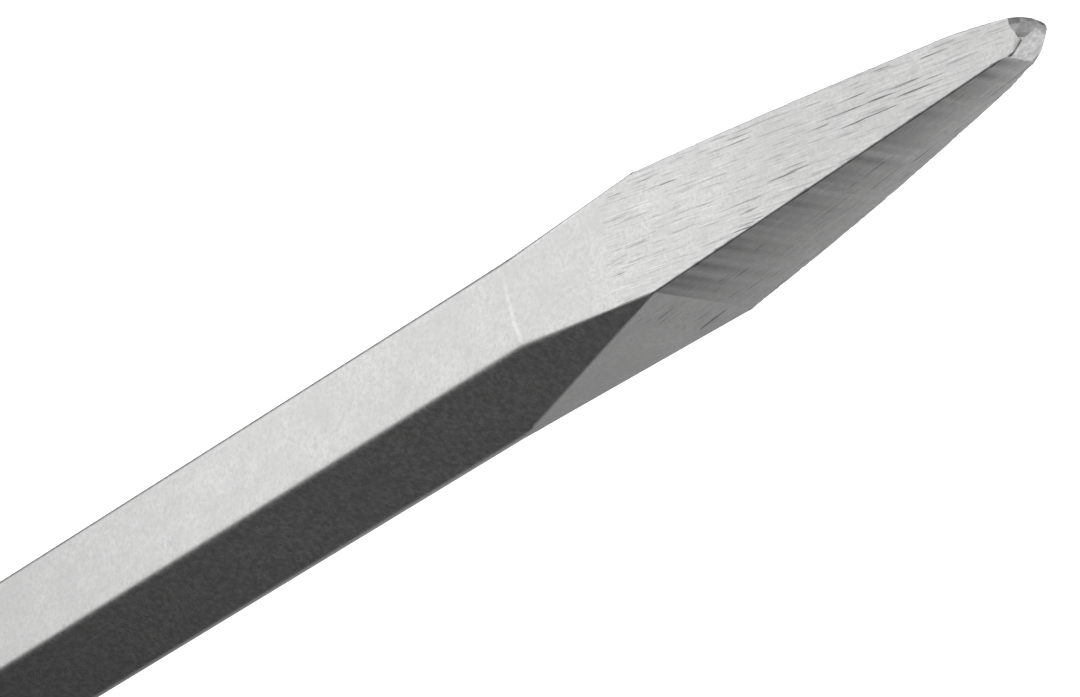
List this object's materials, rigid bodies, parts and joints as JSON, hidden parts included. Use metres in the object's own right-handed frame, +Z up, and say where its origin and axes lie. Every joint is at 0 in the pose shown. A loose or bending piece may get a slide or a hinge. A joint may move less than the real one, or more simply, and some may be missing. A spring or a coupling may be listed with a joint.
{
  "type": "electric jackhammer",
  "caption": "Electric jackhammer: a motor and crank drive a piston, striker and impact bolt against a hexagonal bull-point chisel, with a D-handle, a trigger and a swivelling side handle.",
  "frame": {"origin": "centre of the underside of the rubber foot below the motor", "axes": "+X along the barrel to the chisel's tip, +Z up"},
  "size_m": [0.968, 0.147, 0.318],
  "materials": {
    "chisel_steel": "forged and ground bare steel",
    "case_paint": "graphite powder coat on cast alloy",
    "barrel_alloy": "bead-blasted cast alloy with machined faces",
    "holder_steel": "phosphated forged steel",
    "machined_alloy": "machined",
    "machined_steel": "ground",
    "screw_steel": "zinc plated",
    "black_steel": "black painted steel",
    "motor_plastic": "textured glass-filled nylon",
    "handle_plastic": "textured glass-filled nylon",
    "black_plastic": "fine texture",
    "accent_plastic": "fine texture",
    "accent_paint": "powder coat",
    "rubber": "moulded",
    "gasket": "fibre sheet",
    "bronze": "sintered bronze and brass",
    "copper": "enamelled copper",
    "carbon": "graphite",
    "lamination": "stacked electrical steel",
    "sight_glass": "clear"
  },
  "bodies": {
    "root": {"crank_case": "case_paint", "gear_plate": "machined_alloy", "crank_case_cover": "case_paint", "cover_gasket": "gasket", "cover_screws": "screw_steel", "oil_cap": "black_plastic", "oil_sight_glass": "sight_glass", "barrel": "barrel_alloy", "flange_bolts": "black_steel", "cylinder_liner": "machined_steel", "impact_bolt_bushing": "bronze", "rubber_damper": "rubber", "tool_holder": "holder_steel", "nose_cap": "rubber", "retainer_detent": "screw_steel", "motor_housing": "motor_plastic", "motor_end_cap": "motor_plastic", "motor_screws": "screw_steel", "rubber_foot": "rubber", "stator_core": "lamination", "field_coils": "copper", "brush_holders": "bronze", "carbon_brushes": "carbon", "brush_springs": "screw_steel", "brush_caps": "black_plastic", "bearing_outer_races": "machined_steel", "bearing_balls": "machined_steel", "intermediate_bushes": "bronze", "handle_shell_left": "handle_plastic", "handle_shell_right": "handle_plastic", "handle_grip": "rubber", "handle_screws": "screw_steel", "switch_body": "black_plastic", "cable_gland": "rubber", "trigger_spring": "screw_steel"},
    "armature": {"armature_shaft": "machined_steel", "armature_core": "lamination", "armature_windings": "copper", "commutator": "copper", "cooling_fan": "black_plastic", "armature_bearing_inners": "machined_steel"},
    "intermediate": {"intermediate_shaft": "machined_steel", "intermediate_gear": "machined_steel"},
    "crank": {"crankshaft": "machined_steel", "crank_gear": "machined_steel", "crank_bearing_inners": "machined_steel"},
    "piston": {"piston": "machined_alloy", "wrist_pin": "machined_steel", "piston_ring": "rubber"},
    "rod": {"connecting_rod": "machined_alloy", "crank_pin": "machined_steel"},
    "striker": {"striker": "machined_steel"},
    "impact_bolt": {"impact_bolt": "machined_steel"},
    "chisel": {"chisel": "chisel_steel"},
    "retainer": {"retainer_lever": "accent_paint"},
    "side_handle": {"side_handle_bow": "black_steel", "side_handle_grip": "rubber"},
    "knob": {"clamp_knob": "black_plastic"},
    "trigger": {"trigger": "accent_plastic"},
    "lock": {"lock_button": "accent_plastic"}
  },
  "joints": [
    {"name": "armature_spin", "type": "hinge", "parent": "root", "child": "armature", "pos_m": [0, 0, 0.1], "axis": [0, 0, 1], "continuous": true},
    {"name": "intermediate_spin", "type": "hinge", "parent": "root", "child": "intermediate", "pos_m": [-0.0249, 0.026, 0.2], "axis": [0, 0, 1], "continuous": true},
    {"name": "crank_spin", "type": "hinge", "parent": "root", "child": "crank", "pos_m": [-0.0745, 0, 0.2], "axis": [0, 0, 1], "continuous": true},
    {"name": "piston_slide", "type": "slide", "parent": "root", "child": "piston", "axis": [1, 0, 0], "range_m": [0, 0.036]},
    {"name": "rod_swing", "type": "hinge", "parent": "piston", "child": "rod", "pos_m": [-0.0075, 0, 0.25], "axis": [0, 0, 1], "range_deg": [-12.2, 12.2]},
    {"name": "striker_slide", "type": "slide", "parent": "root", "child": "striker", "axis": [1, 0, 0], "range_m": [-0.032, 0]},
    {"name": "chisel_slide", "type": "slide", "parent": "root", "child": "chisel", "axis": [1, 0, 0], "range_m": [0, 0.016]},
    {"name": "impact_bolt_slide", "type": "slide", "parent": "root", "child": "impact_bolt", "axis": [1, 0, 0], "range_m": [0, 0.016]},
    {"name": "retainer_turn", "type": "hinge", "parent": "root", "child": "retainer", "pos_m": [0.3, 0, 0.2337], "axis": [0, -1, 0], "range_deg": [0, 180]},
    {"name": "side_handle_swivel", "type": "hinge", "parent": "root", "child": "side_handle", "pos_m": [0.18, 0, 0.25], "axis": [1, 0, 0], "continuous": true},
    {"name": "clamp_knob_turn", "type": "hinge", "parent": "side_handle", "child": "knob", "pos_m": [0.18, 0.03, 0.194], "axis": [0, 1, 0], "continuous": true},
    {"name": "trigger_pull", "type": "hinge", "parent": "root", "child": "trigger", "pos_m": [-0.207, 0, 0.268], "axis": [0, 1, 0], "range_deg": [0, 8], "stiffness_Nm_per_rad": 1.5, "springref_deg": -5.73, "deforming": ["trigger_spring"]},
    {"name": "lock_button_press", "type": "slide", "parent": "root", "child": "lock", "axis": [0, -1, 0], "range_m": [0, 0.004], "stiffness_N_per_m": 500, "springref_m": -0.004}
  ],
  "couplings": [
    {"joint": "intermediate_spin", "follows": "armature_spin", "ratio": -0.33333},
    {"joint": "crank_spin", "follows": "armature_spin", "ratio": 0.11111},
    {"joint": "impact_bolt_slide", "follows": "chisel_slide", "ratio": 1}
  ]
}
